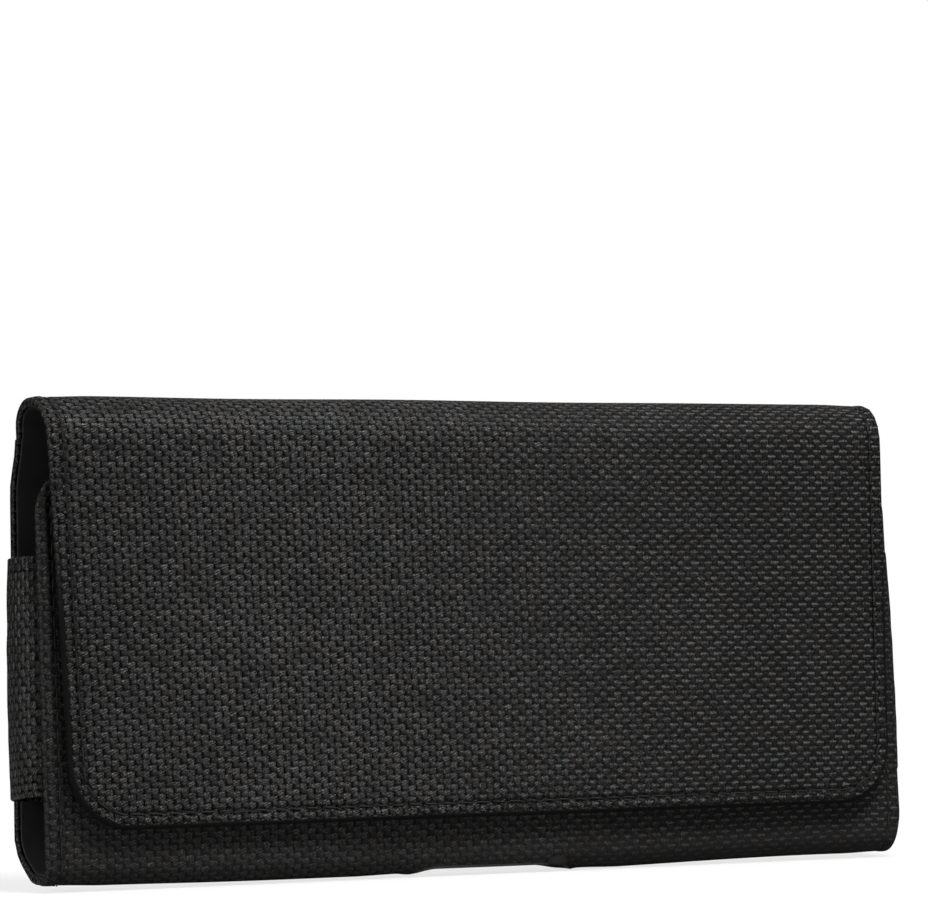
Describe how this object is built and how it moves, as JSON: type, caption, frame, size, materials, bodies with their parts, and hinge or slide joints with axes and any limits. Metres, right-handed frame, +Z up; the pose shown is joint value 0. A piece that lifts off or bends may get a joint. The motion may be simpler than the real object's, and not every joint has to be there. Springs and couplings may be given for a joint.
{
  "type": "phone belt holster",
  "caption": "Horizontal woven pouch for a phone with a flap that folds over its front, strapped open sides, a push-out cut below, and a spring clip and sewn loops behind for a belt.",
  "frame": {"origin": "middle of the belt tunnel behind the back, halfway between the two sewn loops", "axes": "+X along the pouch's width and the belt, -Y out of the flap's front, +Z up towards the arch"},
  "size_m": [0.1948, 0.0316, 0.0945],
  "materials": {
    "nylon": "black woven nylon, satin threads",
    "lining": "smooth black lining cloth",
    "stiffener": "black board, hidden",
    "webbing": "black ribbed webbing",
    "clip_steel": "black coated spring steel, semi-gloss",
    "plain_steel": "plain steel, hidden",
    "magnet": "nickel plated, hidden"
  },
  "bodies": {
    "pouch": {"pouch_cover": "nylon", "pouch_interlining": "stiffener", "pouch_lining": "lining", "front_magnet_left": "magnet", "front_magnet_right": "magnet", "side_gusset_left": "webbing", "side_gusset_right": "webbing", "belt_loop_left": "webbing", "belt_loop_right": "webbing", "belt_clip": "clip_steel", "clip_backing_plate": "plain_steel", "clip_rivets": "clip_steel"},
    "flap": {"flap_cover": "nylon", "flap_interlining": "stiffener", "flap_lining": "lining", "flap_magnet_left": "magnet", "flap_magnet_right": "magnet"}
  },
  "joints": [
    {"name": "flap_hinge", "type": "hinge", "parent": "pouch", "child": "flap", "pos_m": [0, -0.003, 0.0385], "axis": [-1, 0, 0], "range_deg": [0, 150]}
  ]
}
